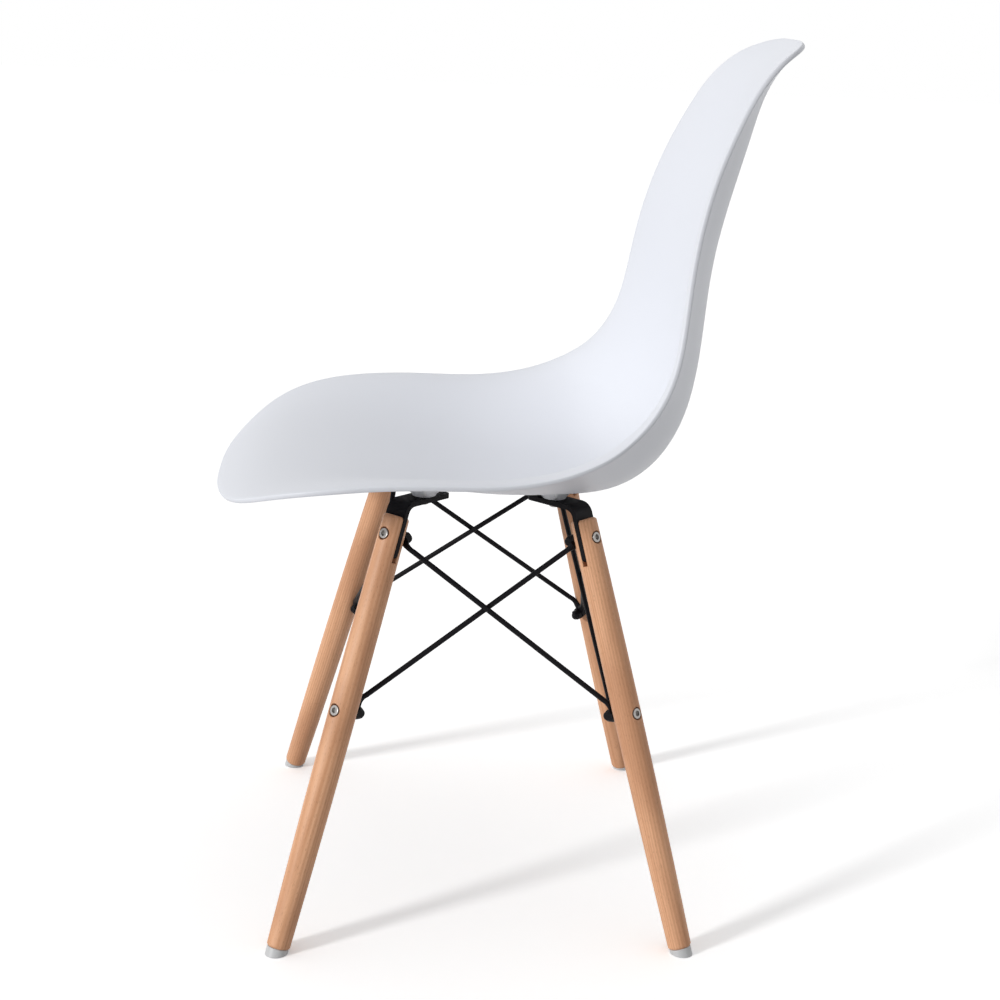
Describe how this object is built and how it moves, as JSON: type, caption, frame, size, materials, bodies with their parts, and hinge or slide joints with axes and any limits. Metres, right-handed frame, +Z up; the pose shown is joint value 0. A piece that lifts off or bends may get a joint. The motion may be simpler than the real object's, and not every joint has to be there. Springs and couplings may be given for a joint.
{
  "type": "dining chair",
  "caption": "Dining chair with a one-piece moulded plastic shell seat and back on splayed turned wooden legs, braced by crossed black wires.",
  "frame": {"origin": "on the floor, in the middle of the chair's box", "axes": "+Z up, the sitter faces -Y, +X to the sitter's left"},
  "size_m": [0.467, 0.5252, 0.8157],
  "materials": {
    "shell_plastic": "satin moulded",
    "beech": "clear satin lacquer",
    "black_steel": "black powder coat",
    "zinc": "bright zinc plated",
    "insert_metal": "plain",
    "glide_plastic": "translucent white"
  },
  "bodies": {
    "root": {"seat_shell": "shell_plastic", "leg_front_left": "beech", "leg_front_right": "beech", "leg_rear_left": "beech", "leg_rear_right": "beech", "leg_bracket_front_left": "black_steel", "leg_bracket_front_right": "black_steel", "leg_bracket_rear_left": "black_steel", "leg_bracket_rear_right": "black_steel", "brace_left_from_front": "black_steel", "brace_left_from_rear": "black_steel", "brace_right_from_front": "black_steel", "brace_right_from_rear": "black_steel", "brace_front_from_left": "black_steel", "brace_front_from_right": "black_steel", "brace_rear_from_left": "black_steel", "brace_rear_from_right": "black_steel", "upper_leg_bolts": "zinc", "lower_leg_bolts": "zinc", "upper_cap_nuts": "black_steel", "lower_cap_nuts": "black_steel", "shell_screws": "zinc", "shell_screw_washers": "zinc", "shell_threaded_inserts": "insert_metal", "glide_nails": "zinc", "foot_glide_front_left": "glide_plastic", "foot_glide_front_right": "glide_plastic", "foot_glide_rear_left": "glide_plastic", "foot_glide_rear_right": "glide_plastic"}
  },
  "joints": []
}
